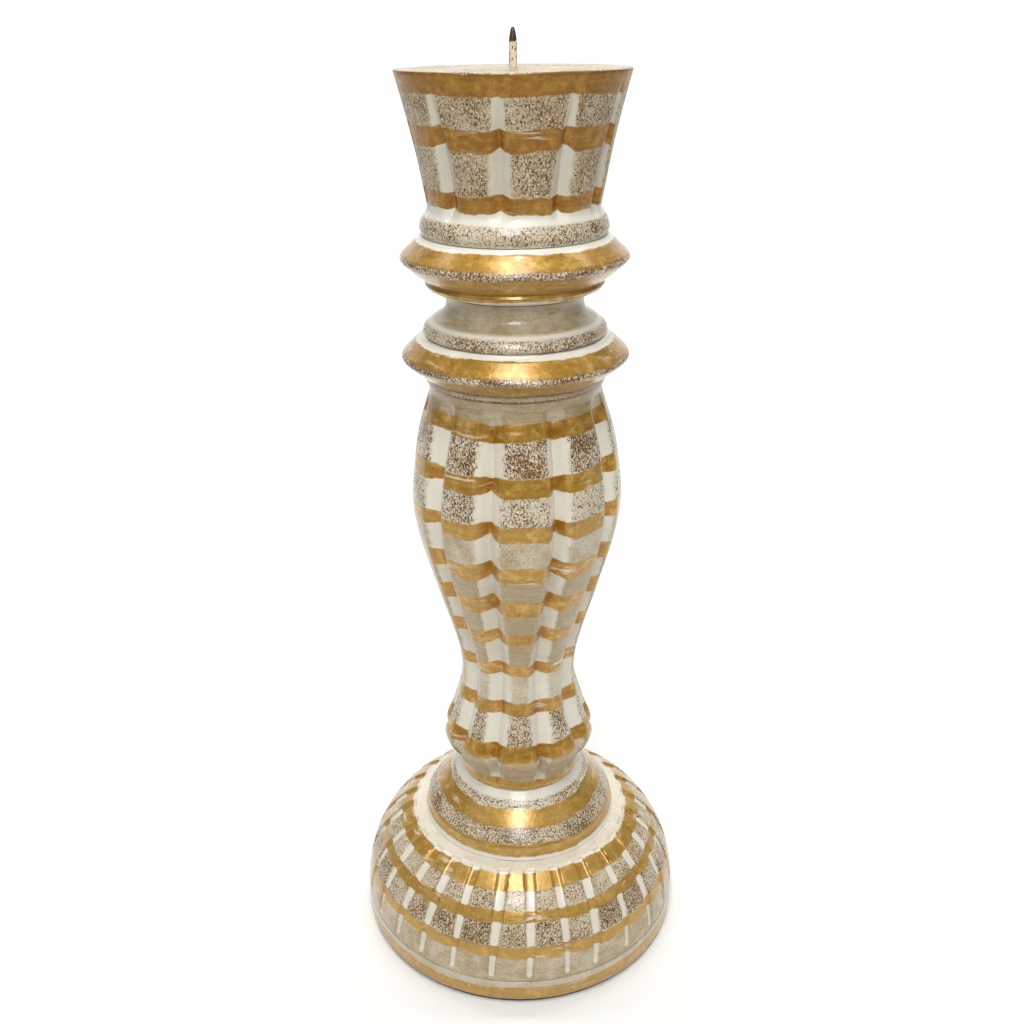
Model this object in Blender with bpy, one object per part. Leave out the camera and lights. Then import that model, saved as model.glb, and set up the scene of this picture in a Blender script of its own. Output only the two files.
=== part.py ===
"""Pricket candlestick: a stack of turned, hand-fluted wooden pieces on a felted foot.

The wooden pieces are threaded on one long dowel and held to the base by a lag screw from below.
Every outline is a list of (radius, height) points in millimetres, and is turned about Z.
"""
import math

import bmesh
import bpy

MM = 0.001
WELD = 1e-7
GAP = 0.3

# Heights of the joints between the stacked pieces, from the surface that the foot stands on.
FELT_TOP = 1.5
PLINTH_TOP = 13.0
DOME_TOP = 56.0
COLLAR_TOP = 81.3
STEM_TOP = 272.4
LOWER_KNOP_TOP = 292.0
NECK_TOP = 308.8
UPPER_KNOP_TOP = 331.8
RIM = 392.0
NAIL_TIP = 406.0

# Largest radii.
FOOT_R = 76.2
FELT_R = 74.5
RIM_R = 44.9

# Facets round a turned piece. A fluted piece has a whole number of facets to each groove.
RING_STEPS = 36
FOOT_STEPS = 64

# Joinery.
TENON_R = 12.0
TENON_BOTTOM = 40.0
DOWEL_R = 7.0
DOWEL_BOTTOM = 236.0
DOWEL_TOP = 360.0
NAIL_R = 1.5
NAIL_HEAD_R = 3.6
NAIL_HEAD = 1.6
LAG_R = 3.0
LAG_HEAD_R = 5.8
LAG_HEAD = 4.0
LAG_TIP = 76.0
WASHER_R = 10.0
WASHER = 1.5
COUNTERBORE_R = 12.0
COUNTERBORE_TOP = 8.8
SCREW_R = 2.0
SCREW_HEAD_R = 4.0
SCREW_HEAD = 2.6
SCREW_TIP = 34.0
SCREW_CIRCLE_R = 52.0
SCREW_COUNT = 4

# Carving. A groove's centre is its bearing about Z; the front of the candlestick faces -Y.
FLUTES = 10
STEM_FLUTE_AT = math.radians(-105.0)
STEM_FLUTE_HALF_WIDTH = 5.0
STEM_FLUTE_SLENDERNESS = 0.15
CUP_FLUTE_AT = math.radians(-97.0)
CUP_FLUTE_HALF_WIDTH = 4.5
CUP_FLUTE_DEPTH = 3.4
DOME_GROOVES = 28
DOME_GROOVE_AT = math.radians(-87.0)
DOME_GROOVE_HALF_WIDTH = 2.6
DOME_GROOVE_DEPTH = 1.5
FACETS_PER_FLUTE = 6
FACETS_PER_DOME_GROOVE = 3

# The dome is an arc of a circle in section.
DOME_ARC_R = 47.3
DOME_ARC_CENTRE = (FOOT_R - DOME_ARC_R, 14.0)
DOME_ARC_END = math.radians(59.5)


def clear_scene():
    for item in list(bpy.data.objects):
        bpy.data.objects.remove(item, do_unlink=True)


def finish(name, colour, roughness, metallic=0.0):
    """A plain Principled material."""
    material = bpy.data.materials.new(name)
    material.use_nodes = True
    shader = material.node_tree.nodes["Principled BSDF"]
    shader.inputs["Base Color"].default_value = (*colour, 1.0)
    shader.inputs["Roughness"].default_value = roughness
    shader.inputs["Metallic"].default_value = metallic
    return material


def ease(value, start, end):
    """Rise smoothly from 0 at start to 1 at end."""
    share = min(max((value - start) / (end - start), 0.0), 1.0)
    return share * share * (3.0 - 2.0 * share)


def smooth(points, steps):
    """A Catmull-Rom curve through the points, with the given steps in each span."""
    padded = [points[0], *points, points[-1]]
    curve = []
    for before, start, end, after in zip(padded, padded[1:], padded[2:], padded[3:]):
        for step in range(steps):
            t = step / steps
            curve.append(tuple(
                0.5 * (2 * b + (c - a) * t + (2 * a - 5 * b + 4 * c - d) * t ** 2
                       + (3 * b - a - 3 * c + d) * t ** 3)
                for a, b, c, d in zip(before, start, end, after)
            ))
    curve.append(points[-1])
    return curve


def arc(centre, radius, start, end, steps):
    """Points along an arc in the outline's plane; an angle of 0 points away from the axis."""
    turns = [start + (end - start) * step / steps for step in range(steps + 1)]
    return [(centre[0] + radius * math.cos(a), centre[1] + radius * math.sin(a)) for a in turns]


def taper(start, end, steps):
    """Points along a straight wall after its start, so that a carving can bend the wall."""
    shares = [step / steps for step in range(1, steps + 1)]
    return [(start[0] + (end[0] - start[0]) * s, start[1] + (end[1] - start[1]) * s) for s in shares]


def turn(name, outline, steps, material, bearing=0.0, carve=None):
    """Spin an outline about Z into one closed solid.

    An outline that starts and ends on the axis stays open there; any other is closed into a ring.
    The carve function, if there is one, gives the depth to cut at a bearing, radius and height.
    """
    bm = bmesh.new()
    across, along = math.cos(bearing), math.sin(bearing)
    points = [bm.verts.new((r * across * MM, r * along * MM, z * MM)) for r, z in outline]
    edges = [bm.edges.new(pair) for pair in zip(points, points[1:])]
    if outline[0][0] > 0.0:
        edges.append(bm.edges.new((points[-1], points[0])))
    bmesh.ops.spin(bm, geom=points + edges, cent=(0, 0, 0), axis=(0, 0, 1), angle=math.tau,
                   steps=steps, use_merge=True)
    bmesh.ops.remove_doubles(bm, verts=bm.verts, dist=WELD)
    bmesh.ops.recalc_face_normals(bm, faces=bm.faces)
    if carve:
        bm.normal_update()
        for vert in bm.verts:
            radius = math.hypot(vert.co.x, vert.co.y) / MM
            depth = carve(math.atan2(vert.co.y, vert.co.x), radius, vert.co.z / MM)
            vert.co -= vert.normal * depth * MM
    mesh = bpy.data.meshes.new(name)
    bm.to_mesh(mesh)
    bm.free()
    mesh.materials.append(material)
    mesh.shade_smooth()
    mesh.set_sharp_from_angle(angle=math.radians(35.0))
    piece = bpy.data.objects.new(name, mesh)
    bpy.context.scene.collection.objects.link(piece)
    return piece


def groove(bearing, radius, count, centre, half_width):
    """How deep a V groove is at a place: 1 along its centre line, 0 from its edges outwards."""
    pitch = math.tau / count
    offset = (bearing - centre + pitch / 2) % pitch - pitch / 2
    return max(0.0, 1.0 - abs(offset) * radius / half_width)


def cut(piece, tool):
    """Cut a tool's shape out of a piece."""
    tool.hide_render = True
    tool.display_type = "WIRE"
    boolean = piece.modifiers.new("cut", "BOOLEAN")
    boolean.operation = "DIFFERENCE"
    boolean.solver = "EXACT"
    boolean.object = tool


def felt_pad(felt):
    outline = [(0, 0), (FELT_R, 0), (FELT_R, FELT_TOP), (0, FELT_TOP)]
    turn("felt_pad", outline, FOOT_STEPS, felt)


def foot_plinth(paint):
    """The bottom disc, with a counterbore for the lag screw's head and washer."""
    base = FELT_TOP + GAP
    top = PLINTH_TOP - GAP / 2
    bore = LAG_R + GAP
    edge = [(FOOT_R - 0.9, base), (FOOT_R, base + 1.6), (FOOT_R, top - 0.7), (FOOT_R - 0.5, top)]
    outline = [(bore, COUNTERBORE_TOP), (COUNTERBORE_R, COUNTERBORE_TOP), (COUNTERBORE_R, base),
               *edge, (bore, top)]
    return turn("foot_plinth", outline, FOOT_STEPS, paint)


def dome_carving(bearing, radius, height):
    """Radial channels with rounded lower ends, running out through the dome's top edge."""
    if radius < DOME_ARC_CENTRE[0] + DOME_ARC_R * math.cos(DOME_ARC_END) - 0.5:
        return 0.0
    depth = DOME_GROOVE_DEPTH * ease(height, 13.6, 17.5)
    return depth * groove(bearing, radius, DOME_GROOVES, DOME_GROOVE_AT, DOME_GROOVE_HALF_WIDTH)


def base_dome(paint):
    """The domed base, with a socket for the stem's tenon above the lag screw's hole."""
    base = PLINTH_TOP + GAP / 2
    bore = LAG_R + GAP
    socket = TENON_R + GAP
    side = arc(DOME_ARC_CENTRE, DOME_ARC_R, 0.0, DOME_ARC_END, 7)
    outline = [(bore, TENON_BOTTOM - GAP), (bore, base), (FOOT_R - 0.5, base), *side,
               (50.8, DOME_TOP - 2 * GAP), (47.0, DOME_TOP - GAP), (socket, DOME_TOP - GAP),
               (socket, TENON_BOTTOM - GAP)]
    steps = FACETS_PER_DOME_GROOVE * DOME_GROOVES
    return turn("base_dome", outline, steps, paint, DOME_GROOVE_AT, dome_carving)


def base_collar(paint):
    """The rounded ring between dome and stem, bored through for the tenon."""
    bore = TENON_R + GAP
    side = [(45.9, DOME_TOP), (45.2, 57.2), (45.0, 60.0), (43.9, 63.3), (39.2, 68.9), (33.4, 74.9),
            (31.9, 77.0), (27.6, COLLAR_TOP - GAP)]
    outline = [(bore, DOME_TOP), *side, (bore, COLLAR_TOP - GAP)]
    turn("base_collar", outline, RING_STEPS, paint)


def stem_carving(bearing, radius, height):
    """Deep flutes down the stem that die out at its neck and foot."""
    if radius < 20.0:
        return 0.0
    depth = STEM_FLUTE_SLENDERNESS * radius * ease(height, 88.0, 96.0) * (1.0 - ease(height, 260.0, 271.0))
    return depth * groove(bearing, radius, FLUTES, STEM_FLUTE_AT, STEM_FLUTE_HALF_WIDTH)


def stem(paint):
    """The fluted baluster: foot ring, bulb, waist and vase, with a tenon below."""
    pilot = LAG_R + GAP
    pilot_top = LAG_TIP + 2.0
    socket = DOWEL_R + GAP
    socket_floor = DOWEL_BOTTOM - GAP
    body = smooth([(28.9, 88.6), (35.3, 99.2), (31.4, 112.0), (27.1, 129.0), (27.6, 147.0),
                   (36.0, 177.0), (43.2, 203.5), (45.4, 223.0), (42.3, 247.7), (36.1, 268.6)], 2)
    outline = [(0, pilot_top), (pilot, pilot_top), (pilot, TENON_BOTTOM), (TENON_R, TENON_BOTTOM),
               (TENON_R, COLLAR_TOP), (26.9, COLLAR_TOP), (27.9, COLLAR_TOP + 1.0),
               (28.3, 86.6), *body, (36.3, STEM_TOP - GAP), (socket, STEM_TOP - GAP),
               (socket, socket_floor), (0, socket_floor)]
    turn("stem", outline, FACETS_PER_FLUTE * FLUTES, paint, STEM_FLUTE_AT, stem_carving)


def stack_ring(name, side, bottom, top, paint):
    """A turned ring on the long dowel, with the given outer side from bottom to top."""
    bore = DOWEL_R + GAP
    turn(name, [(bore, bottom), *side, (bore, top)], RING_STEPS, paint)


def lower_knop(paint):
    """Sharp-edged disc: fillet, undercut, rounded edge, slope and cove."""
    top = LOWER_KNOP_TOP - GAP
    side = [(36.7, STEM_TOP), (37.3, STEM_TOP + 0.6), (37.3, 275.2), (39.6, 276.5), (45.6, 281.5),
            (46.7, 282.6), (46.8, 283.5), (46.0, 284.9), (40.6, 290.0), (38.9, 291.0), (38.2, top)]
    stack_ring("lower_knop", side, STEM_TOP, top, paint)


def neck_spool(paint):
    """Bell-shaped neck that flares down to a bead."""
    top = NECK_TOP - GAP
    side = [(36.8, LOWER_KNOP_TOP), (37.7, 293.0), (37.6, 294.6), (34.2, 297.7), (29.3, 300.9),
            (28.1, 304.6), (28.8, top)]
    stack_ring("neck_spool", side, LOWER_KNOP_TOP, top, paint)


def upper_knop(paint):
    """Sharp-edged disc with a small bead below its undercut."""
    top = UPPER_KNOP_TOP - GAP
    side = [(29.0, NECK_TOP), (33.2, 310.0), (35.6, 311.2), (36.4, 312.6), (35.9, 313.9), (37.6, 315.2),
            (44.7, 321.0), (45.8, 322.2), (45.9, 323.1), (45.0, 324.6), (38.9, 330.2), (37.7, top)]
    stack_ring("upper_knop", side, NECK_TOP, top, paint)


def cup_carving(bearing, radius, height):
    """Flutes that start at the bead and fade out below the rim."""
    if radius < 20.0 or height > RIM - 1.0:
        return 0.0
    depth = CUP_FLUTE_DEPTH * ease(height, 335.0, 345.0) * (1.0 - ease(height, 364.0, 388.0))
    return depth * groove(bearing, radius, FLUTES, CUP_FLUTE_AT, CUP_FLUTE_HALF_WIDTH)


def candle_cup(paint):
    """The fluted cup with its flat candle seat, bored for the dowel and for the nail."""
    bore = DOWEL_R + GAP
    nail_hole = NAIL_R + GAP
    ceiling = DOWEL_TOP + GAP + NAIL_HEAD + 2 * GAP
    bead = smooth([(36.6, UPPER_KNOP_TOP), (37.6, 334.8), (35.6, 339.2), (34.2, 342.6)], 2)
    wall = taper(bead[-1], (RIM_R, RIM - 0.8), 5)
    outline = [(nail_hole, ceiling), (bore, ceiling), (bore, UPPER_KNOP_TOP), *bead, *wall,
               (RIM_R - 0.8, RIM), (nail_hole, RIM)]
    turn("candle_cup", outline, FACETS_PER_FLUTE * FLUTES, paint, CUP_FLUTE_AT, cup_carving)


def pricket(steel):
    """The candle nail: a wire nail driven up through the cup, its head hidden on the dowel."""
    head_bottom = DOWEL_TOP + GAP
    head_top = head_bottom + NAIL_HEAD
    taper = NAIL_TIP - 6.0
    outline = [(0, head_bottom), (NAIL_HEAD_R, head_bottom), (NAIL_HEAD_R, head_top),
               (NAIL_R, head_top), (NAIL_R, taper), (NAIL_R * 0.55, NAIL_TIP - 1.6), (0, NAIL_TIP)]
    turn("pricket", outline, 16, steel)


def neck_dowel(wood):
    """The long dowel from the stem's socket through neck and knops into the cup."""
    chamfer = 1.0
    outline = [(0, DOWEL_BOTTOM), (DOWEL_R - chamfer, DOWEL_BOTTOM), (DOWEL_R, DOWEL_BOTTOM + chamfer),
               (DOWEL_R, DOWEL_TOP - chamfer), (DOWEL_R - chamfer, DOWEL_TOP), (0, DOWEL_TOP)]
    turn("neck_dowel", outline, 24, wood)


def hexagon(bearing):
    """How far a hexagon reaches at a bearing, as a share of its corner radius."""
    side = math.tau / 6
    return math.cos(side / 2) / math.cos(bearing % side - side / 2)


def lag_screw(steel):
    """The hex-headed lag screw that pulls the stem's tenon down into the base."""
    head_top = COUNTERBORE_TOP - WASHER - 2 * GAP
    head_bottom = head_top - LAG_HEAD
    outline = [(0, LAG_TIP), (LAG_R, LAG_TIP - 6.0), (LAG_R, head_top), (LAG_HEAD_R, head_top),
               (LAG_HEAD_R, head_bottom), (0, head_bottom)]
    screw = turn("lag_screw", outline, 24, steel)
    for vert in screw.data.vertices:
        if math.hypot(vert.co.x, vert.co.y) > (LAG_R + GAP) * MM:
            vert.co.xy *= hexagon(math.atan2(vert.co.y, vert.co.x))


def lag_washer(steel):
    top = COUNTERBORE_TOP - GAP
    bore = LAG_R + GAP
    outline = [(bore, top), (bore, top - WASHER), (WASHER_R, top - WASHER), (WASHER_R, top)]
    turn("lag_washer", outline, 24, steel)


def screw_outline(clearance):
    """A countersunk wood screw, or the hole for it, from its head up to its point."""
    head = FELT_TOP + GAP
    shank = SCREW_R + clearance
    head_r = SCREW_HEAD_R + clearance
    tip = SCREW_TIP + 4 * clearance
    start = head - 2 * clearance
    return [(0, start), (head_r, start), (head_r, head + clearance), (shank, head + SCREW_HEAD + clearance),
            (shank, tip - 4.0), (0, tip)]


def plinth_screws(steel, plinth, dome):
    """Wood screws up through the plinth into the dome, with their holes."""
    for number in range(SCREW_COUNT):
        bearing = math.tau * (number + 0.5) / SCREW_COUNT
        place = (SCREW_CIRCLE_R * math.cos(bearing) * MM, SCREW_CIRCLE_R * math.sin(bearing) * MM, 0.0)
        screw = turn(f"plinth_screw_{number + 1}", screw_outline(0.0), 12, steel)
        hole = turn(f"screw_hole_{number + 1}", screw_outline(GAP), 12, steel)
        screw.location = place
        hole.location = place
        cut(plinth, hole)
        cut(dome, hole)


def build():
    clear_scene()
    paint = finish("painted_wood", (0.62, 0.50, 0.31), 0.55)
    wood = finish("bare_wood", (0.55, 0.38, 0.21), 0.7)
    steel = finish("steel", (0.55, 0.53, 0.50), 0.4, 1.0)
    felt = finish("felt", (0.015, 0.015, 0.016), 0.95)
    felt_pad(felt)
    plinth = foot_plinth(paint)
    dome = base_dome(paint)
    base_collar(paint)
    stem(paint)
    lower_knop(paint)
    neck_spool(paint)
    upper_knop(paint)
    candle_cup(paint)
    pricket(steel)
    neck_dowel(wood)
    lag_screw(steel)
    lag_washer(steel)
    plinth_screws(steel, plinth, dome)


build()
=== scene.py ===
"""Looks for the painted pricket candlestick: fine turned meshes and procedural paint on the CAD frame.

Outlines are (radius, height) points in millimetres, turned about Z. Places come from the frame.
"""
import math
import random

import bmesh
import bpy
import numpy as np
from mathutils import Euler, Matrix, Vector


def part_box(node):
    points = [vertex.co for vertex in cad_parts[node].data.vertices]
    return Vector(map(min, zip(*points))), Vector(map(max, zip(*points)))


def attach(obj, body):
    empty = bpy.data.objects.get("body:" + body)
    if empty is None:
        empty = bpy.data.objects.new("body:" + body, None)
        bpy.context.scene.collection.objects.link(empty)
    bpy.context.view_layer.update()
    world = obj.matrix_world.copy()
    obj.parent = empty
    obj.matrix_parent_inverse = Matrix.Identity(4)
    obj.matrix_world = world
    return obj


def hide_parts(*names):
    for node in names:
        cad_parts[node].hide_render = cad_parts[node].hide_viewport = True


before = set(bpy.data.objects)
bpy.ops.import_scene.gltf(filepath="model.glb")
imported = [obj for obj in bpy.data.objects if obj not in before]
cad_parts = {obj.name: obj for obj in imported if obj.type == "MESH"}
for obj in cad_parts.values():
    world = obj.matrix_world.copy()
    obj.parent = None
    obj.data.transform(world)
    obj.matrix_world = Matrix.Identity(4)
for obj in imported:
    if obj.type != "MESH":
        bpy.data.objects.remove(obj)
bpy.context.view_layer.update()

MM = 0.001
GAP = 0.3
FULL_TURN = 2.0 * math.pi
WELD = 1e-7
FAR_FROM_GOLD = -50.0
EDGE_SOFTNESS = 0.6
FAINT_CUT = 0.7
SWAY = 0.3
SWAY_LENGTH = 17.0


# ---------------------------------------------------------------- sizes read from the frame

def low(node):
    """A CAD node's lowest height in millimetres."""
    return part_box(node)[0].z / MM


def high(node):
    """A CAD node's greatest height in millimetres."""
    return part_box(node)[1].z / MM


def reach(node):
    """A CAD node's greatest radius in millimetres."""
    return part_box(node)[1].x / MM


LAG_R = 3.0
NAIL_R = 1.5
NAIL_BARE_POINT = 5.2
DOWEL_BORE = reach("neck_dowel") + GAP
LAG_BORE = LAG_R + GAP
NAIL_BORE = NAIL_R + GAP
TENON_R = 12.0
COUNTERBORE_R = 12.0
FLUTES = 10
DOME_GROOVES = 28


# ---------------------------------------------------------------- outline helpers

def ease(value, start, end):
    """Rise smoothly from 0 at start to 1 at end; works on arrays."""
    share = np.clip((value - start) / (end - start), 0.0, 1.0)
    return share * share * (3.0 - 2.0 * share)


def smooth(points, steps):
    """A Catmull-Rom curve through the points."""
    padded = np.array([points[0], *points, points[-1]], float)
    curve = []
    for a, b, c, d in zip(padded, padded[1:], padded[2:], padded[3:]):
        for step in range(steps):
            t = step / steps
            curve.append(0.5 * (2 * b + (c - a) * t + (2 * a - 5 * b + 4 * c - d) * t ** 2
                                + (3 * b - a - 3 * c + d) * t ** 3))
    return [tuple(point) for point in curve] + [tuple(points[-1])]


def arc(centre, radius, start, end, steps=40):
    """Points along an arc in the outline's plane, with angles in degrees from straight outwards."""
    turns = [math.radians(start + (end - start) * step / steps) for step in range(steps + 1)]
    return [(centre[0] + radius * math.cos(a), centre[1] + radius * math.sin(a)) for a in turns]


def resample(points, spacing):
    """The same outline with a point at every corner and at most the given spacing between points."""
    dense = [points[0]]
    for start, end in zip(points, points[1:]):
        length = math.dist(start, end)
        count = max(1, math.ceil(length / spacing))
        dense += [(start[0] + (end[0] - start[0]) * k / count, start[1] + (end[1] - start[1]) * k / count)
                  for k in range(1, count + 1)]
    return np.array(dense)


# ---------------------------------------------------------------- carving

def vee(share):
    """A groove with rounded shoulders and a sharp valley; share is 1 in the valley and 0 at the edge."""
    return share * share * (2.0 - share)


def channel(share):
    """A groove with steep sides and a broad round bottom."""
    return np.sqrt(1.0 - (1.0 - share) ** 4)


class Grooves:
    """Hand-cut grooves round a piece: regular spacing with a little wander in every cut.

    lean is in degrees for each millimetre of height above pivot, and nudge moves single grooves, in degrees.
    """

    def __init__(self, count, bearing, half_width, depth, shape, seed, wander=0.5, pivot=0.0, lean=0.0,
                 lean_wander=0.0, nudge=None):
        rng = random.Random(seed)
        self.count = count
        self.bearing = math.radians(bearing)
        self.half_width = half_width
        self.depth = depth
        self.shape = shape
        self.pivot = pivot
        self.shift = np.array([rng.uniform(-wander, wander) for _ in range(count)])
        for index, degrees in (nudge or {}).items():
            self.shift[index] += degrees
        self.lean = np.array([lean + rng.uniform(-lean_wander, lean_wander) for _ in range(count)])
        self.width = np.array([rng.uniform(0.9, 1.1) for _ in range(count)])
        self.cut = np.array([rng.uniform(0.88, 1.1) for _ in range(count)])
        self.sway = np.array([rng.uniform(0.0, FULL_TURN) for _ in range(count)])

    def at(self, around, radius, height):
        """(depth in mm, closeness to the nearest valley from 0 to 1) at each place."""
        pitch = FULL_TURN / self.count
        mean_lean = math.radians(self.lean.mean()) * (height - self.pivot)
        turns = (around - self.bearing - mean_lean) / pitch
        number = np.round(turns).astype(int)
        index = number % self.count
        own_lean = (self.lean[index] - self.lean.mean()) * (height - self.pivot)
        wander = np.radians(self.shift[index] + own_lean)
        sway = SWAY * np.sin(height / SWAY_LENGTH + self.sway[index])
        offset = ((turns - number) * pitch - wander) * radius - sway
        across = np.abs(offset) / (self.half_width(height) * self.width[index])
        share = np.clip(1.0 - across, 0.0, 1.0)
        depth = self.depth(radius, height) * self.cut[index]
        presence = np.clip(depth / FAINT_CUT, 0.0, 1.0)
        return depth * self.shape(share), share * presence


# ---------------------------------------------------------------- turned meshes

def side_normals(outline):
    """Outward direction of the outline at each point, for an outline that runs up the outer side."""
    along = np.gradient(outline, axis=0)
    along /= np.hypot(along[:, 0], along[:, 1])[:, None]
    return np.stack([along[:, 1], -along[:, 0]], axis=1)


def hand_waver(around, height, seed):
    """A slow unevenness from 0 to 1, as left by hand turning and sanding."""
    rng = random.Random(seed)
    total = np.zeros_like(around)
    waves = 5
    for _ in range(waves):
        lobes = rng.randint(2, 9)
        total += np.sin(lobes * around + height / rng.uniform(6.0, 30.0) + rng.uniform(0.0, FULL_TURN))
    return 0.5 + total / (2 * waves)


def turned(name, outer, back, segments, paint, spacing, grooves=None, waver=0.14, seed=1):
    """A turned piece: its visible side in fine rows from bottom to top, and its plain hidden back.

    The back returns from the top to the bottom, round the piece's bores. Points on the axis are welded.
    """
    side = resample(outer, spacing)
    rows = len(side)
    bearing = np.arange(segments) * FULL_TURN / segments
    normal = side_normals(side)
    radius = np.repeat(side[:, :1], segments, axis=1)
    height = np.repeat(side[:, 1:], segments, axis=1)
    around = np.repeat(bearing[None, :], rows, axis=0)
    depth = np.zeros_like(radius)
    closeness = np.zeros_like(radius)
    if grooves:
        depth, closeness = grooves.at(around, radius, height)
    depth += waver * hand_waver(around, height, seed)
    depth[0] = depth[-1] = 0.0
    rings = [(radius - depth * normal[:, :1], height - depth * normal[:, 1:])]
    rings += [(np.full((1, segments), r), np.full((1, segments), z)) for r, z in back]
    all_radius = np.concatenate([ring[0] for ring in rings])
    all_height = np.concatenate([ring[1] for ring in rings])
    verts = np.stack([all_radius * np.cos(bearing), all_radius * np.sin(bearing), all_height], axis=2)
    mesh = bpy.data.meshes.new(name)
    mesh.from_pydata(verts.reshape(-1, 3) * MM, [], ring_faces(len(all_radius), segments))
    length = np.concatenate([[0.0], np.cumsum(np.hypot(*np.diff(side, axis=0).T))])
    for label, values in paint(length, side, around, height, closeness).items():
        filled = np.zeros(len(mesh.vertices), np.float32)
        filled[:rows * segments] = values.reshape(-1)
        mesh.attributes.new(label, "FLOAT", "POINT").data.foreach_set("value", filled)
    weld(mesh)
    mesh.shade_smooth()
    mesh.set_sharp_from_angle(angle=math.radians(60.0))
    piece = bpy.data.objects.new(name, mesh)
    bpy.context.scene.collection.objects.link(piece)
    return piece


def ring_faces(rings, segments):
    """Quads between consecutive rings and from the last ring to the first, facing outwards."""
    ring = np.arange(segments)
    after = (ring + 1) % segments
    faces = []
    for row in range(rings):
        here, above = row * segments, (row + 1) % rings * segments
        faces += np.stack([here + ring, here + after, above + after, above + ring], axis=1).tolist()
    return faces


def weld(mesh):
    """Merge points that lie on each other, and drop edges that no longer bound a face."""
    work = bmesh.new()
    work.from_mesh(mesh)
    bmesh.ops.remove_doubles(work, verts=work.verts, dist=WELD)
    loose = [edge for edge in work.edges if not edge.link_faces]
    bmesh.ops.delete(work, geom=loose, context="EDGES")
    work.to_mesh(mesh)
    work.free()


# ---------------------------------------------------------------- where the paint goes

def band(bottom, top, lift=0.0, pinch=0.4):
    """A gold band; in a groove it rises by lift and loses pinch from both its edges."""
    return (bottom, top, lift, pinch)


def zone(bottom, top, wash_and_shade, speck):
    """A stretch of cream paint: how tan it is washed, the tan standing in part for painted shade in some
    zones, and how much brown is rubbed through.
    """
    return (bottom, top, wash_and_shade, speck)


def dark_line(middle):
    """A thin brown line in a crease."""
    return zone(middle - 0.2, middle + 0.2, 0.0, 2.2)


def wobble(around, seed):
    """A brush line's wander about its mean, from about -1 to 1, the same after a full turn."""
    rng = random.Random(seed)
    total = np.zeros_like(around)
    for lobes, size in ((2, 0.35), (3, 0.3), (5, 0.3), (9, 0.22), (17, 0.15), (31, 0.1)):
        total += size * np.sin((lobes + rng.randint(0, 1)) * around + rng.uniform(0.0, FULL_TURN))
    return total


def layout(bands, zones, seed, wave=0.7):
    """A painter's plan: distance into the nearest gold band in mm, and the state of the cream paint, whose
    tan also carries painted shade in some zones.
    """
    def plan(length, side, around, height, closeness):
        along = np.repeat(length[:, None], height.shape[1], axis=1)
        valley = closeness ** 2
        gold = np.full_like(height, FAR_FROM_GOLD)
        for number, (bottom, top, lift, pinch) in enumerate(bands):
            start, stop = np.interp([bottom, top], side[:, 1], length)
            both = wave * wobble(around, seed + 5 * number)
            start = start + both + 0.5 * wave * wobble(around, seed + 5 * number + 1)
            stop = stop + both + 0.5 * wave * wobble(around, seed + 5 * number + 2)
            above_start = along - start - (lift + pinch) * valley
            below_stop = stop + (lift - pinch) * valley - along
            inside = np.minimum(above_start, below_stop)
            gold = np.maximum(gold, inside)
        wash_and_shade = np.zeros_like(height)
        speck = np.zeros_like(height)
        for bottom, top, tan, brown in zones:
            soft = min(EDGE_SOFTNESS, (top - bottom) / 2)
            share = ease(height, bottom - 2 * soft, bottom)
            share = share * (1.0 - ease(height, top, top + 2 * soft))
            wash_and_shade = np.maximum(wash_and_shade, share * tan)
            speck = np.maximum(speck, share * brown)
        return {"gold": gold, "valley": closeness, "wash_and_shade": wash_and_shade, "speck": speck}
    return plan


# ---------------------------------------------------------------- node helpers

def linear(red, green, blue):
    """A colour given as it looks on screen, 0 to 255, as scene-linear RGBA."""
    def one(value):
        share = value / 255.0
        return share / 12.92 if share <= 0.04045 else ((share + 0.055) / 1.055) ** 2.4
    return (one(red), one(green), one(blue), 1.0)


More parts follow.
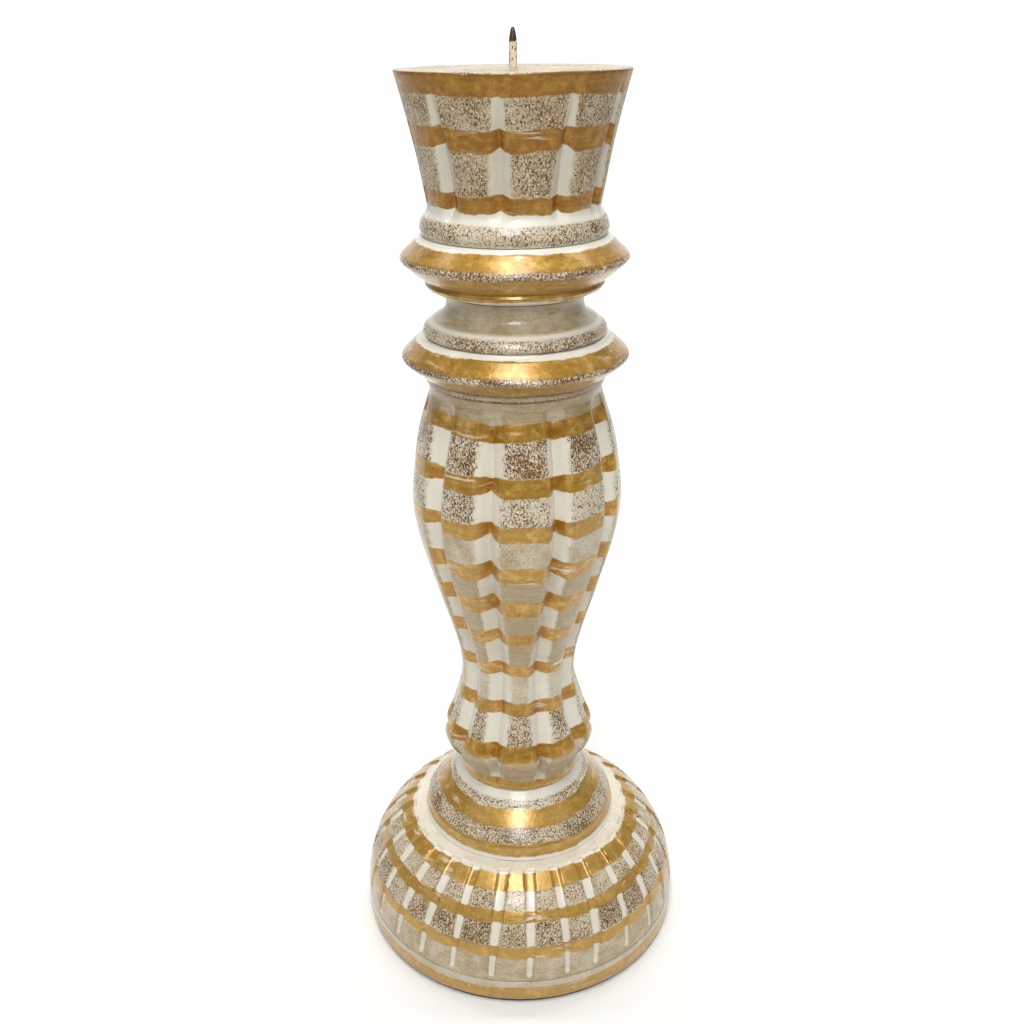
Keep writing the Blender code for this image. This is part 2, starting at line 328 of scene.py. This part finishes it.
class Nodes:
    """A material's node tree, with short ways to add the nodes that this script uses."""

    def __init__(self, name):
        self.material = bpy.data.materials.new(name)
        self.material.use_nodes = True
        self.tree = self.material.node_tree
        self.shader = self.tree.nodes["Principled BSDF"]
        self.place = self.add("ShaderNodeTexCoord").outputs["Object"]

    def add(self, kind, **settings):
        node = self.tree.nodes.new(kind)
        for key, value in settings.items():
            setattr(node, key, value)
        return node

    def feed(self, socket, value):
        if isinstance(value, bpy.types.NodeSocket):
            self.tree.links.new(value, socket)
        else:
            socket.default_value = value

    def math(self, operation, first, second=0.0, third=0.0):
        node = self.add("ShaderNodeMath", operation=operation)
        for socket, value in zip(node.inputs, (first, second, third)):
            self.feed(socket, value)
        return node.outputs[0]

    def rise(self, value, start, end, to_start=0.0, to_end=1.0):
        """Map a value smoothly from start..end to to_start..to_end."""
        node = self.add("ShaderNodeMapRange", interpolation_type="SMOOTHSTEP")
        for socket, number in zip(node.inputs, (value, start, end, to_start, to_end)):
            self.feed(socket, number)
        return node.outputs[0]

    def mix(self, share, first, second, blend="MIX"):
        node = self.add("ShaderNodeMix", data_type="RGBA", blend_type=blend)
        self.feed(node.inputs["Factor"], share)
        self.feed(node.inputs[6], first)
        self.feed(node.inputs[7], second)
        return node.outputs[2]

    def noise(self, per_metre, detail=2.0, roughness=0.5, stretch=(1.0, 1.0, 1.0), warp=0.0):
        """Noise in the object's own space, with the given number of features to the metre."""
        scaled = self.add("ShaderNodeMapping")
        self.feed(scaled.inputs["Vector"], self.place)
        scaled.inputs["Scale"].default_value = stretch
        node = self.add("ShaderNodeTexNoise")
        self.feed(node.inputs["Vector"], scaled.outputs[0])
        node.inputs["Scale"].default_value = per_metre
        node.inputs["Detail"].default_value = detail
        node.inputs["Roughness"].default_value = roughness
        node.inputs["Distortion"].default_value = warp
        return node.outputs[0]

    def height(self):
        """Height above the floor in metres."""
        split = self.add("ShaderNodeSeparateXYZ")
        self.feed(split.inputs[0], self.place)
        return split.outputs[2]

    def mask(self, label):
        return self.add("ShaderNodeAttribute", attribute_name=label).outputs["Fac"]

    def bump(self, height, distance):
        """Relief of the given depth in metres."""
        node = self.add("ShaderNodeBump")
        node.inputs["Strength"].default_value = 1.0
        node.inputs["Distance"].default_value = distance
        self.feed(node.inputs["Height"], height)
        self.feed(self.shader.inputs["Normal"], node.outputs[0])

    def surface(self, **sockets):
        for label, value in sockets.items():
            self.feed(self.shader.inputs[label.replace("_", " ")], value)
        return self.material


# ---------------------------------------------------------------- materials

CREAM = linear(224, 219, 205)
WASH_AND_SHADE_TAN = linear(160, 139, 96)
DARK_TAN = linear(140, 114, 72)
CUP_SHADE_GREY = linear(150, 144, 126)
DARK_BROWN = linear(62, 42, 16)
LIGHT_BROWN = linear(150, 108, 48)
PALE_FLECK = linear(240, 234, 216)
GILT_GLINT_FLECK = linear(196, 162, 92)
GOLD = linear(162, 117, 32)
LIGHT_GOLD = linear(184, 142, 50)
BRIGHT_GOLD = linear(212, 172, 84)
DULL_GOLD = linear(130, 90, 26)
AMBER = linear(176, 113, 20)
BASE_SHEEN_GOLD = linear(196, 160, 90)
CUP_SHADE_TINT = linear(208, 186, 130)
GOLD_PIT = linear(110, 74, 20)


def gold_cover(n, streak):
    """Where gold lies: bands with brushed edges, broken by dry strokes."""
    edge = n.math("MULTIPLY_ADD", n.noise(330, 2.0, 0.5), 1.6, -0.8)
    gold = n.rise(n.math("ADD", n.mask("gold"), edge), -0.25, 0.35)
    worn_place = n.rise(n.noise(38, 2.0), 0.53, 0.64, 0.0, 0.65)
    dry = n.math("MULTIPLY", n.rise(streak, 0.55, 0.62), worn_place)
    return n.math("MULTIPLY", gold, n.math("SUBTRACT", 1.0, dry))


def washed_shaded_cream(n, clean, shaded_cup):
    """Cream paint, tan-washed more thinly where the grooves were wiped clean; the tan is partly painted
    shade in some zones, and the grey on the cup is painted shade.
    """
    brushed = n.rise(n.noise(160, 4.0, 0.65, stretch=(1.0, 1.0, 7.0)), 0.35, 0.65, 0.8, 1.05)
    wash_and_shade = n.math("MULTIPLY", n.mask("wash_and_shade"), n.math("MULTIPLY_ADD", clean, -0.8, 1.0))
    wash_and_shade = n.math("MULTIPLY", wash_and_shade, n.rise(n.noise(120, 3.0), 0.3, 0.7, 0.7, 1.15))
    wash_and_shade = n.math("MULTIPLY", n.math("MINIMUM", wash_and_shade, 1.0), brushed)
    cream = n.mix(wash_and_shade, CREAM, WASH_AND_SHADE_TAN)
    mottle = n.math("MULTIPLY", n.rise(n.noise(1500, 2.0), 0.4, 0.6), n.math("MULTIPLY", wash_and_shade, 0.35))
    cream = n.mix(mottle, cream, DARK_TAN)
    # The grey mixed in on the cup is painted shade.
    return n.mix(n.math("MULTIPLY", shaded_cup, 0.3), cream, CUP_SHADE_GREY)


def rubbed_through(n, closeness):
    """How far the paint is rubbed: most on the high places, and in patches."""
    high = n.rise(closeness, 0.02, 0.5, 1.0, 0.0)
    patchy = n.rise(n.noise(70, 2.0), 0.3, 0.68, 0.75, 1.12)
    return n.math("MULTIPLY", n.mask("speck"), n.math("MULTIPLY", high, patchy))


def brown_grains(n, rubbed, gold):
    """Grains of brown ground, more of them where the paint is rubbed and fewer through gold."""
    grain = n.noise(1600, 2.0, 0.7, stretch=(1.0, 1.0, 0.65), warp=0.4)
    limit = n.math("MULTIPLY_ADD", rubbed, -0.25, 0.715)
    brown = n.rise(n.math("SUBTRACT", grain, limit), 0.0, 0.05)
    return n.math("MULTIPLY", brown, n.rise(gold, 0.0, 1.0, 1.0, 0.45))


def flecked(n, cream, rubbed):
    """Pale and gilt flecks among the grains; the gilt flecks are gold showing through, painted bright as
    glints.
    """
    pale = n.math("MULTIPLY", n.rise(n.noise(1700, 2.0), 0.56, 0.63), n.math("MULTIPLY", rubbed, 0.7))
    gilt = n.math("MULTIPLY", n.rise(n.noise(1250, 2.0), 0.5, 0.58), n.math("MULTIPLY", rubbed, 0.65))
    return n.mix(gilt, n.mix(pale, cream, PALE_FLECK), GILT_GLINT_FLECK)


def gold_leaf(n, streak, closeness, shaded_cup):
    """Gold paint in streaks and blotches: amber in grooves, paler low down as a painted reflection of the
    overhead light on the up-facing base, and darker on the cup as painted shade.
    """
    leaf = n.mix(n.rise(streak, 0.3, 0.72), GOLD, LIGHT_GOLD)
    pool_place = n.rise(n.noise(160, 2.0), 0.3, 0.65, 0.1, 0.7)
    leaf = n.mix(n.math("MULTIPLY", n.rise(closeness, 0.2, 0.7), pool_place), leaf, AMBER)
    leaf = n.mix(n.rise(n.noise(230, 4.0, 0.65), 0.47, 0.66, 0.0, 0.7), leaf, BRIGHT_GOLD)
    leaf = n.mix(n.rise(n.noise(400, 3.0), 0.52, 0.66, 0.0, 0.35), leaf, DULL_GOLD)
    # Paler gold low down is a painted reflection of the overhead light on the up-facing base.
    leaf = n.mix(n.rise(n.height(), 0.06, 0.09, 0.35, 0.0), leaf, BASE_SHEEN_GOLD)
    # Darker gold on the cup is painted shade.
    leaf = n.mix(n.math("MULTIPLY", shaded_cup, 0.8), leaf, CUP_SHADE_TINT, blend="MULTIPLY")
    return n.mix(n.rise(n.noise(1300, 2.0), 0.56, 0.66, 0.0, 0.35), leaf, GOLD_PIT)


def painted_wood():
    """White paint, tan-washed, with brown rubbed through on the high places and brushed gold bands; the tan
    also stands for painted shade under the bulb and the knops, the cup is greyed and darkened as painted
    shade, and the gold is paled low down as a painted reflection.
    """
    n = Nodes("painted_wood")
    closeness = n.mask("valley")
    ragged = n.math("MULTIPLY_ADD", n.noise(260, 4.0, 0.65), 0.5, -0.25)
    ragged_closeness = n.math("ADD", closeness, ragged)
    clean = n.rise(ragged_closeness, 0.12, 0.42)
    # The cup flares out and faces down, so its cream is greyed and its gold darkened as painted shade; the
    # same mask also gives the cup less varnish.
    shaded_cup = n.rise(n.height(), 0.338, 0.35)
    streak = n.noise(70, 4.0, 0.6, stretch=(1.0, 1.0, 9.0))

    gold = gold_cover(n, streak)
    rubbed = rubbed_through(n, ragged_closeness)
    brown = brown_grains(n, rubbed, gold)
    cream = flecked(n, washed_shaded_cream(n, clean, shaded_cup), rubbed)
    earth = n.mix(n.rise(n.noise(900, 2.0), 0.35, 0.7), DARK_BROWN, LIGHT_BROWN)
    colour = n.mix(gold, cream, gold_leaf(n, streak, closeness, shaded_cup))
    colour = n.mix(brown, colour, earth)

    bare = n.math("SUBTRACT", 1.0, brown)
    metal = n.math("MULTIPLY", gold, n.math("MULTIPLY", bare, 0.42))
    rough = n.math("MULTIPLY_ADD", gold, -0.1, n.rise(n.noise(500, 3.0), 0.3, 0.7, 0.4, 0.5))
    relief = n.math("MULTIPLY_ADD", gold, 0.35, n.math("MULTIPLY", brown, -0.5))
    relief = n.math("ADD", relief, n.math("MULTIPLY", streak, 0.5))
    relief = n.math("ADD", relief, n.math("MULTIPLY", n.noise(700, 4.0, 0.6), 0.9))
    n.bump(relief, 0.00014)
    varnish = n.math("MULTIPLY_ADD", shaded_cup, -0.5, 0.7)
    return n.surface(Base_Color=colour, Metallic=metal, Roughness=rough, Coat_Weight=varnish,
                     Coat_Roughness=0.2)


def black_felt():
    """Pressed felt: short fibres in every direction."""
    n = Nodes("black_felt")
    fibre = n.noise(2600, 4.0, 0.7, warp=1.5)
    colour = n.mix(fibre, linear(10, 10, 11), linear(44, 43, 42))
    n.bump(fibre, 0.0003)
    return n.surface(Base_Color=colour, Roughness=n.rise(fibre, 0.3, 0.7, 0.85, 1.0), Sheen_Weight=0.3)


def chipped_nail():
    """A dark wire nail with cream paint left on its lower shank."""
    n = Nodes("chipped_nail")
    tip = high("pricket") * MM
    paint_end = n.math("SUBTRACT", tip - NAIL_BARE_POINT * MM, n.height())
    ragged = n.math("MULTIPLY_ADD", n.noise(700, 3.0, 0.6), 0.0032, -0.0016)
    painted = n.rise(n.math("ADD", paint_end, ragged), -0.0002, 0.0002)
    chip = n.rise(n.noise(900, 3.0, 0.6, stretch=(1.0, 1.0, 0.5)), 0.56, 0.6)
    painted = n.math("MULTIPLY", painted, n.math("SUBTRACT", 1.0, chip))
    metal = n.mix(n.noise(1500, 3.0), linear(58, 48, 42), linear(104, 90, 78))
    colour = n.mix(painted, metal, linear(228, 208, 184))
    n.bump(painted, 0.00015)
    return n.surface(Base_Color=colour, Metallic=n.math("MULTIPLY_ADD", painted, -0.8, 0.8),
                     Roughness=n.rise(n.noise(900), 0.3, 0.7, 0.35, 0.6))


def zinc_steel():
    """Zinc-plated screws with a faint crystalline mottle."""
    n = Nodes("zinc_steel")
    mottle = n.noise(1400, 3.0, 0.6)
    colour = n.mix(mottle, linear(150, 150, 148), linear(196, 194, 186))
    n.bump(mottle, 0.00005)
    return n.surface(Base_Color=colour, Metallic=1.0, Roughness=n.rise(mottle, 0.3, 0.7, 0.25, 0.45))


def bare_wood():
    """Straight-grained dowel, with the grain along Z."""
    n = Nodes("bare_wood")
    grain = n.noise(900, 4.0, 0.6, stretch=(1.0, 1.0, 0.05))
    colour = n.mix(n.rise(grain, 0.3, 0.7), linear(150, 108, 68), linear(204, 166, 118))
    n.bump(grain, 0.0001)
    return n.surface(Base_Color=colour, Roughness=n.rise(grain, 0.3, 0.7, 0.55, 0.75))


# ---------------------------------------------------------------- the pieces

def place(piece, node, material):
    """Let a fine piece stand for its CAD node."""
    piece.data.materials.append(material)
    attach(piece, "root")
    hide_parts(node)


def foot_plinth(material):
    base, top, widest = low("foot_plinth"), high("foot_plinth"), reach("foot_plinth")
    ceiling = high("lag_washer") + GAP
    foot_round, top_round = 1.6, 0.5
    outer = [(COUNTERBORE_R, base), (widest - foot_round, base),
             *arc((widest - foot_round, base + foot_round), foot_round, -90, 0, 6),
             (widest, top - top_round),
             *arc((widest - top_round, top - top_round), top_round, 0, 90, 4)]
    back = [(LAG_BORE, top), (LAG_BORE, ceiling), (COUNTERBORE_R, ceiling)]
    plan = layout([band(base - 3.0, 9.6)], [zone(base, top + 1.0, 0.6, 0.1)], seed=110)
    piece = turned("plinth", outer, back, 480, plan, spacing=0.8, seed=11)
    place(piece, "foot_plinth", material)


def base_dome(material):
    base, top, widest = low("base_dome"), high("base_dome"), reach("base_dome")
    curve = 47.3
    side = arc((widest - curve, 14.0), curve, 0.0, 59.5)
    crown = smooth([(52.6, 54.9), (50.9, 55.5), (48.8, top - 0.15), (46.0, top)], 4)
    outer = [(widest - 0.7, base), (widest - 0.1, base + 0.35), *side, *crown]
    socket = TENON_R + GAP
    floor = low("stem") - GAP
    back = [(socket, top), (socket, floor), (LAG_BORE, floor), (LAG_BORE, base)]

    def half_width(height):
        return 1.7 + 0.9 * ease(height, 18.0, 42.0)

    def depth(radius, height):
        return 1.3 * ease(height, 14.6, 18.0) * ease(radius, 50.6, 52.2)

    cuts = Grooves(DOME_GROOVES, -86.0, half_width, depth, channel, seed=5, wander=0.9, pivot=50.0,
                   lean=0.06, lean_wander=0.035)
    plan = layout([band(50.2, 54.9), band(39.8, 44.3), band(25.4, 30.5)],
                  [zone(13.0, 25.4, 0.9, 0.35), zone(30.5, 39.8, 0.6, 1.0), zone(44.3, 50.2, 0.6, 0.8),
                   zone(54.9, top + 1.0, 0.25, 0.25)], seed=120)
    piece = turned("dome", outer, back, 960, plan, spacing=0.9, grooves=cuts, seed=12)
    place(piece, "base_dome", material)


def base_collar(material):
    base, top = low("base_collar"), high("base_collar")
    slope = smooth([(45.3, 57.2), (45.1, 60.0), (43.9, 63.3), (39.2, 68.9), (33.6, 74.9), (32.0, 77.0),
                    (27.6, top)], 6)
    outer = [(45.9, base), *slope]
    bore = TENON_R + GAP
    back = [(bore, top), (bore, base)]
    plan = layout([band(57.6, 63.2), band(68.7, 75.0)],
                  [zone(63.0, 69.0, 0.5, 1.05), zone(75.0, 77.6, 0.2, 0.85)], seed=130)
    piece = turned("collar", outer, back, 480, plan, spacing=0.7, seed=13)
    place(piece, "base_collar", material)


def stem(material):
    tenon, top = low("stem"), high("stem")
    shoulder = high("base_collar") + GAP
    body = smooth([(28.9, 88.6), (35.3, 99.2), (31.4, 112.0), (27.1, 129.0), (27.6, 147.0),
                   (36.0, 177.0), (43.2, 203.5), (45.4, 223.0), (42.3, 247.7), (36.1, 268.6)], 10)
    foot_ring = arc((27.2, shoulder + 0.9), 0.9, -60, 30, 4)
    outer = [(26.9, shoulder), *foot_ring, (28.3, 86.6), *body, (36.3, top)]
    drill_room = 2.0
    pilot_top = high("lag_screw") + drill_room
    socket_floor = low("neck_dowel") - GAP
    back = [(DOWEL_BORE, top), (DOWEL_BORE, socket_floor), (0.0, socket_floor), (0.0, pilot_top),
            (LAG_BORE, pilot_top), (LAG_BORE, tenon), (TENON_R, tenon), (TENON_R, shoulder)]

    def depth(radius, height):
        return 0.145 * radius * ease(height, 83.0, 92.0) * (1.0 - ease(height, 259.0, 271.0))

    def half_width(height):
        return 5.0 + 2.0 * ease(height, 90.0, 115.0)

    cuts = Grooves(FLUTES, -104.0, half_width, depth, vee, seed=3, pivot=245.0, lean=0.034,
                   nudge={0: -1.2, 1: 2.5, 2: 4.5})
    # The tan in the zones under the bulb, from 86.8 to 101.5, and at the top under the lower knop, from
    # 264.2 up, is partly real paint and partly painted shade; at the top it is mostly the knop's painted
    # shadow.
    plan = layout([band(80.0, 86.8), band(101.5, 108.8, 0.4), band(122.2, 128.6, -0.3),
                   band(141.8, 148.2, -0.5), band(160.2, 167.2, -0.3), band(177.6, 186.0, -0.4),
                   band(195.4, 203.8, -0.3), band(216.0, 223.3, 0.2), band(235.8, 243.6, -0.2, 1.3),
                   band(257.8, 264.8, -0.8, 0.1)],
                  [zone(86.8, 101.5, 3.0, 0.25), zone(108.8, 122.2, 0.4, 0.95),
                   zone(128.6, 141.8, 0.65, 0.35), zone(148.2, 195.4, 1.6, 0.1),
                   zone(203.8, 216.0, 0.8, 0.45), zone(223.3, 235.8, 0.4, 0.9),
                   zone(243.6, 258.2, 0.3, 1.1), zone(264.2, top + 1.0, 4.0, 0.2)], seed=140)
    piece = turned("baluster", outer, back, 540, plan, spacing=1.15, grooves=cuts, seed=14)
    place(piece, "stem", material)


def stack_ring(name, node, outer, plan, material, seed):
    """One of the turned rings on the long dowel."""
    bottom, top = low(node), high(node)
    back = [(DOWEL_BORE, top), (DOWEL_BORE, bottom)]
    piece = turned(name, outer, back, 480, plan, spacing=0.6, seed=seed)
    place(piece, node, material)


def lower_knop(material):
    bottom, top = low("lower_knop"), high("lower_knop")
    foot = smooth([(37.25, bottom + 0.5), (37.4, 274.2), (37.5, 275.4), (39.6, 276.6)], 4)
    edge = smooth([(45.6, 281.5), (46.65, 282.7), (46.7, 283.6), (46.0, 284.9)], 4)
    shoulder = smooth([(40.6, 290.0), (39.2, 290.8), (38.2, top)], 4)
    outer = [(36.7, bottom), *foot, *edge, *shoulder]
    plan = layout([band(275.6, 281.8), band(284.6, 290.2)],
                  [zone(282.0, 285.0, 0.5, 1.15), dark_line(275.3), dark_line(bottom + 0.6),
                   zone(bottom, 275.0, 1.0, 0.5)], seed=150, wave=0.5)
    stack_ring("knop_low", "lower_knop", outer, plan, material, 15)


def neck_spool(material):
    bottom, top = low("neck_spool"), high("neck_spool")
    bell = smooth([(37.5, 292.7), (37.75, 293.9), (36.9, 295.7), (34.2, 297.9), (31.0, 299.9),
                   (28.9, 301.9), (28.15, 304.6), (28.2, 306.8), (28.8, top)], 5)
    outer = [(36.8, bottom), *bell]
    # The tan on the neck from 299.0 up is partly real paint and partly painted shadow of the upper knop
    # above it.
    plan = layout([], [zone(292.0, 296.4, 0.4, 0.9), zone(299.0, top + 1.0, 0.85, 0.2)], seed=160)
    stack_ring("neck", "neck_spool", outer, plan, material, 16)


def upper_knop(material):
    bottom, top = low("upper_knop"), high("upper_knop")
    bead = smooth([(35.4, 311.1), (36.3, 312.5), (35.8, 313.9)], 5)
    underside = smooth([(37.6, 315.2), (41.2, 317.9), (44.7, 321.0)], 4)
    edge = smooth([(44.7, 321.0), (45.7, 322.2), (45.8, 323.2), (45.0, 324.6)], 4)[1:]
    shoulder = smooth([(39.6, 329.6), (38.5, 330.5), (37.7, top)], 4)
    outer = [(29.0, bottom), (33.2, 310.0), *bead, *underside, *edge, *shoulder]
    plan = layout([band(311.2, 321.2), band(324.2, 329.9)],
                  [zone(321.2, 324.6, 0.5, 1.15), dark_line(314.5)], seed=170, wave=0.5)
    stack_ring("knop_high", "upper_knop", outer, plan, material, 17)


def candle_cup(material):
    bottom, rim, widest = low("candle_cup"), high("candle_cup"), reach("candle_cup")
    wall_r, wall_z, hollow = 34.3, 342.8, 0.8
    bead = smooth([(36.6, bottom), (37.4, 333.4), (37.6, 335.0), (36.9, 337.4), (35.6, 339.4),
                   (34.4, 341.4), (wall_r, wall_z)], 5)
    wall = [(wall_r + (widest - wall_r) * t - hollow * math.sin(math.pi * t),
             wall_z + (rim - 0.9 - wall_z) * t) for t in np.linspace(0.0, 1.0, 13)[1:]]
    edge = smooth([(widest, rim - 0.9), (widest - 0.15, rim - 0.3), (widest - 0.8, rim)], 4)[1:]
    outer = [*bead, *wall, *edge, (30.0, rim), (NAIL_BORE, rim)]
    nail_head_room = 2.5
    ceiling = high("neck_dowel") + nail_head_room
    back = [(NAIL_BORE, ceiling), (DOWEL_BORE, ceiling), (DOWEL_BORE, bottom)]

    def depth(radius, height):
        fade = 1.0 - ease(height, 362.0, 391.0)
        return 3.2 * ease(height, 338.5, 346.0) * fade * ease(radius, 30.0, 32.0)

    def half_width(height):
        return 5.8 - 2.8 * ease(height, 358.0, 380.0)

    cuts = Grooves(FLUTES, -97.5, half_width, depth, vee, seed=8, wander=0.7)
    plan = layout([band(343.2, 349.6, 0.5), band(365.2, 373.2, 1.0, 0.8), band(384.0, 391.9)],
                  [zone(332.6, 338.8, 0.35, 0.9), zone(349.6, 365.2, 0.85, 0.85),
                   zone(373.2, 385.2, 0.85, 0.85), zone(390.6, rim + 1.0, 0.5, 0.9)], seed=180)
    piece = turned("cup", outer, back, 720, plan, spacing=1.0, grooves=cuts, seed=18)
    place(piece, "candle_cup", material)


def pricket(material):
    """The nail, thick with paint on its shank, with a blunt point."""
    base, tip = low("pricket"), high("pricket")
    painted, head, corner, head_top = 1.62, reach("pricket"), 0.3, base + 1.6
    point = smooth([(NAIL_R, tip - 5.0), (1.35, tip - 3.4), (0.95, tip - 1.3), (0.55, tip - 0.3)], 5)
    outer = [(0.0, base), (head - corner, base), (head, base + corner), (head, head_top - corner),
             (head - corner, head_top), (painted, head_top), (painted, tip - NAIL_BARE_POINT), *point,
             (0.0, tip)]
    piece = turned("nail", outer, [], 32, layout([], [], seed=190), spacing=0.6, waver=0.12, seed=19)
    place(piece, "pricket", material)


def felt_pad(material):
    top, widest = high("felt_pad"), reach("felt_pad")
    outer = [(0.0, 0.0), (widest - 0.4, 0.0), *arc((widest - 0.4, 0.4), 0.4, -90, 0, 4),
             (widest, top - 0.3), (widest - 0.3, top), (0.0, top)]
    piece = turned("felt", outer, [], 360, layout([], [], seed=200), spacing=1.5, waver=0.0, seed=20)
    place(piece, "felt_pad", material)


def finish_hidden_nodes():
    """Screws, washer and dowel keep their CAD shapes."""
    steel = zinc_steel()
    wood = bare_wood()
    for name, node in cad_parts.items():
        if name.startswith(("lag_", "plinth_screw")):
            node.data.materials.clear()
            node.data.materials.append(steel)
        if name == "neck_dowel":
            node.data.materials.clear()
            node.data.materials.append(wood)


# ---------------------------------------------------------------- stage, lights and camera

def plain_material(name, colour, roughness):
    n = Nodes(name)
    shade = n.mix(n.noise(6, 2.0), colour, tuple(0.985 * c for c in colour[:3]) + (1.0,))
    return n.surface(Base_Color=shade, Roughness=roughness)


def stage_floor():
    """A pale floor that sweeps up into a backdrop behind the candlestick."""
    width, near, far, tall, bend = 6.0, -2.5, 2.2, 3.0, 0.8
    profile = [(near, 0.0), (far - bend, 0.0)]
    profile += [(far - bend + bend * math.sin(a), bend - bend * math.cos(a))
                for a in np.linspace(0.0, math.pi / 2, 24)[1:]]
    profile.append((far, tall))
    verts = [(x, y, z) for y, z in profile for x in (-width / 2, width / 2)]
    faces = [(2 * k, 2 * k + 1, 2 * k + 3, 2 * k + 2) for k in range(len(profile) - 1)]
    mesh = bpy.data.meshes.new("backdrop")
    mesh.from_pydata(verts, [], faces)
    mesh.shade_smooth()
    backdrop = bpy.data.objects.new("backdrop", mesh)
    bpy.context.scene.collection.objects.link(backdrop)
    mesh.materials.append(plain_material("pale_floor", linear(236, 236, 234), 0.7))


def softbox(name, stands_at, aimed_at, size, power):
    """A rectangular area light, with its size in metres across and along."""
    light = bpy.data.lights.new(name, "AREA")
    light.shape = "RECTANGLE"
    light.size, light.size_y = size
    light.energy = power
    lamp = bpy.data.objects.new(name, light)
    lamp.location = stands_at
    lamp.rotation_euler = (Vector(aimed_at) - Vector(stands_at)).to_track_quat("-Z", "Y").to_euler()
    bpy.context.scene.collection.objects.link(lamp)


def lights():
    """A long softbox from overhead to high in front, weak fills, and a lamp washing the backdrop with light.
    """
    world = bpy.data.worlds.new("studio")
    world.use_nodes = True
    background = world.node_tree.nodes["Background"]
    background.inputs["Color"].default_value = (1.0, 0.985, 0.95, 1.0)
    background.inputs["Strength"].default_value = 0.12
    bpy.context.scene.world = world
    softbox("main_box", (-0.02, -0.5, 1.4), (0.0, 0.0, 0.2), (0.45, 0.85), 10.8)
    softbox("front_box", (-0.02, -0.83, 0.88), (0.0, 0.0, 0.1), (0.3, 0.26), 4.2)
    softbox("left_fill", (-1.3, -0.7, 0.9), (0.0, 0.0, 0.2), (0.8, 1.0), 2.0)
    softbox("right_fill", (1.3, -0.7, 0.9), (0.0, 0.0, 0.2), (0.8, 1.0), 2.0)
    softbox("backdrop_wash", (0.0, 0.7, 1.9), (0.0, 2.1, 0.5), (2.5, 0.6), 55.0)


def camera():
    """The camera stands about level with the nail's point and looks down."""
    distance, height, pitch, yaw, roll = 0.442, 0.4069, 23.95, 0.276, -0.6
    data = bpy.data.cameras.new("camera")
    data.sensor_width = 36.0
    data.lens = 38.67
    eye = bpy.data.objects.new("camera", data)
    eye.location = (0.0, -distance, height)
    aim = Euler((math.radians(90.0 - pitch), 0.0, math.radians(yaw))).to_matrix()
    eye.rotation_euler = (aim @ Matrix.Rotation(math.radians(roll), 3, "Z")).to_euler()
    bpy.context.scene.collection.objects.link(eye)
    bpy.context.scene.camera = eye


camera()
stage_floor()
lights()
bpy.context.scene.view_settings.view_transform = "Standard"
paint = painted_wood()
felt_pad(black_felt())
foot_plinth(paint)
base_dome(paint)
base_collar(paint)
stem(paint)
lower_knop(paint)
neck_spool(paint)
upper_knop(paint)
candle_cup(paint)
pricket(chipped_nail())
finish_hidden_nodes()
